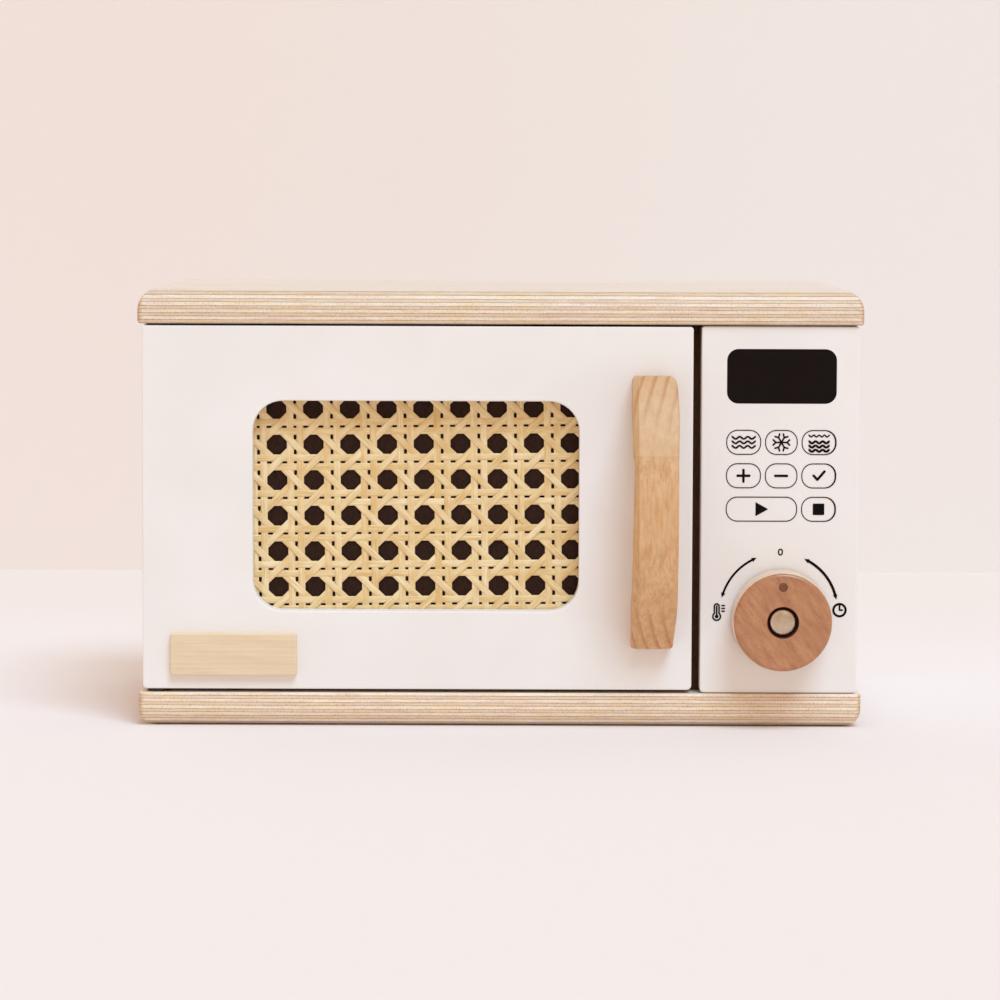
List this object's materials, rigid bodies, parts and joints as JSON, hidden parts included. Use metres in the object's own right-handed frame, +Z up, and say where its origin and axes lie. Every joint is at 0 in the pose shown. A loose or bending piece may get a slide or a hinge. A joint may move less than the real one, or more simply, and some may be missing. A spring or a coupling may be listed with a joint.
{
  "type": "toy microwave oven",
  "caption": "Wooden toy microwave oven with a side-hung door, woven cane window, bow handle, turning dial and turntable.",
  "frame": {"origin": "centre of the base board's underside, on the surface that the oven stands on", "axes": "+X to the right along the long side, +Y to the back, -Y out of the door, +Z up"},
  "size_m": [0.31, 0.2015, 0.1875],
  "materials": {
    "birch_plywood": "clear matt lacquer, plies showing at the edges",
    "birch_block": "bare sanded",
    "white_paint": "satin white paint on fibreboard",
    "dark_board": "dark brown matt paint on board",
    "beech": "clear matt lacquer",
    "dial_wood": "clear matt lacquer, reddish",
    "marker_wood": "stained",
    "plaque_birch": "bare sanded",
    "cane": "natural woven cane",
    "black_display": "satin black",
    "black_ink": "printed ink",
    "white_nylon": "moulded",
    "black_nylon": "moulded",
    "zinc_steel": "zinc plated",
    "cap_steel": "bright pressed",
    "magnet_nickel": "nickel plated"
  },
  "bodies": {
    "cabinet": {"base_board": "birch_plywood", "top_board": "birch_plywood", "left_wall": "white_paint", "right_wall": "white_paint", "divider": "dark_board", "back_panel": "birch_plywood", "control_panel": "white_paint", "display_plate": "black_display", "panel_print": "black_ink", "catch_block": "birch_block", "catch_magnet": "magnet_nickel", "catch_screws": "zinc_steel", "dial_axle": "zinc_steel", "dial_cap": "cap_steel", "dial_push_nut": "zinc_steel", "dial_washers": "white_nylon", "turntable_pin": "zinc_steel", "turntable_washer": "white_nylon", "hinge_washers": "black_nylon", "base_screws": "zinc_steel", "top_dowels": "birch_block", "panel_dowels": "birch_block", "back_screws": "zinc_steel"},
    "door": {"door_frame": "white_paint", "cane_webbing": "cane", "window_backing": "dark_board", "door_handle": "beech", "handle_screws": "zinc_steel", "plaque": "plaque_birch", "hinge_pins": "zinc_steel", "strike_plate": "zinc_steel", "strike_screw": "zinc_steel"},
    "dial": {"dial_knob": "dial_wood", "dial_marker": "marker_wood"},
    "turntable": {"turntable_plate": "beech"}
  },
  "joints": [
    {"name": "door_hinge", "type": "hinge", "parent": "cabinet", "child": "door", "pos_m": [-0.147, -0.0785, 0.09385], "axis": [0, 0, -1], "range_deg": [0, 120]},
    {"name": "dial_turn", "type": "hinge", "parent": "cabinet", "child": "dial", "pos_m": [0.12, -0.094, 0.0472], "axis": [0, -1, 0], "continuous": true},
    {"name": "turntable_spin", "type": "hinge", "parent": "cabinet", "child": "turntable", "pos_m": [-0.0329, 0.00275, 0.0191], "axis": [0, 0, 1], "continuous": true}
  ]
}
